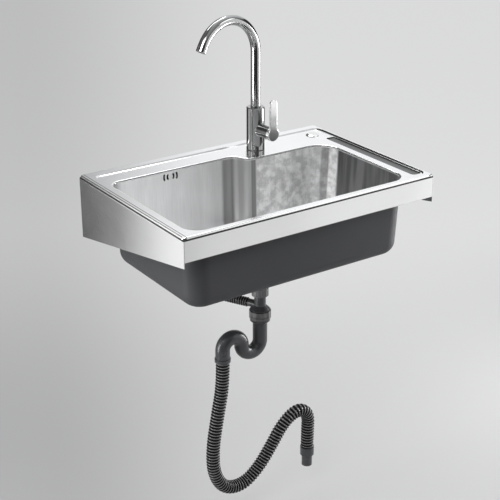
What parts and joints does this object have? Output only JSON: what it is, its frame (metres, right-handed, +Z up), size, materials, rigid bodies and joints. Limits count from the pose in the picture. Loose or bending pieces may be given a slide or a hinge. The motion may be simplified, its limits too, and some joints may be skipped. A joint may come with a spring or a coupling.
{
  "type": "wall-mounted utility sink",
  "caption": "Wall-mounted steel utility sink: folded sheet bracket, pressed basin with a stepped back wall, swivelling gooseneck tap with side lever, S-trap and ribbed drain hose.",
  "frame": {"origin": "on the wall plane, at the middle of the rear rail's back face", "axes": "+X to the right along the wall as seen from the front, +Y into the wall, +Z up"},
  "size_m": [0.65, 0.44, 1.1071],
  "materials": {
    "bracket_steel": "satin brushed sheet",
    "basin_steel": "satin brushed pressed sheet",
    "rivet_metal": "plain",
    "black_rubber": "matt",
    "undercoat": "matt sprayed coat",
    "pipe_plastic": "soft sheen",
    "nut_plastic": "soft sheen",
    "hose_plastic": "soft sheen",
    "polished_cap": "polished",
    "tap_metal": "finely brushed",
    "brass": "machined",
    "fixing_steel": "plain",
    "white_plastic": "moulded"
  },
  "bodies": {
    "sink": {"left_side_bracket": "bracket_steel", "right_side_bracket": "bracket_steel", "front_apron": "bracket_steel", "rear_rail": "bracket_steel", "sink_basin": "basin_steel", "strainer_cup": "basin_steel", "corner_rivets": "rivet_metal", "rim_seal": "black_rubber", "overflow_gasket": "black_rubber", "strainer_gasket": "black_rubber", "coupling_washer": "black_rubber", "trap_washer": "black_rubber", "tap_base_gasket": "black_rubber", "tap_backing_rubber": "black_rubber", "bowl_undercoat": "undercoat", "overflow_housing": "pipe_plastic", "strainer_lock_ring": "pipe_plastic", "tailpiece": "pipe_plastic", "trap_slip_nut": "pipe_plastic", "trap_bend": "pipe_plastic", "hose_end_adapter": "pipe_plastic", "soap_hole_nut": "pipe_plastic", "coupling_nut": "nut_plastic", "drain_hose": "hose_plastic", "overflow_hose": "hose_plastic", "soap_hole_cap": "polished_cap", "tap_body": "tap_metal", "spout_collar": "tap_metal", "tap_shank": "brass", "tap_mounting_nut": "brass", "valve_bonnet": "brass", "tap_backing_washer": "fixing_steel", "valve_cartridge": "white_plastic"},
    "spout": {"spout_tube": "tap_metal", "spout_o_rings": "black_rubber", "spout_clip": "fixing_steel", "spout_aerator": "tap_metal", "aerator_insert": "white_plastic"},
    "lever": {"lever_handle": "tap_metal", "valve_stem": "brass", "lever_set_screw": "fixing_steel"},
    "basket": {"strainer_basket": "basin_steel", "basket_knob": "polished_cap", "basket_seal": "black_rubber"}
  },
  "joints": [
    {"name": "spout_swivel", "type": "hinge", "parent": "sink", "child": "spout", "pos_m": [0.106, -0.0625, 0.1295], "axis": [0, 0, 1], "range_deg": [-20, 180]},
    {"name": "lever_turn", "type": "hinge", "parent": "sink", "child": "lever", "pos_m": [0.106, -0.0625, 0.0805], "axis": [-0.0872, 0.9962, 0], "range_deg": [0, 90]},
    {"name": "basket_lift", "type": "slide", "parent": "sink", "child": "basket", "axis": [0, 0, 1], "range_m": [0, 0.26]}
  ]
}
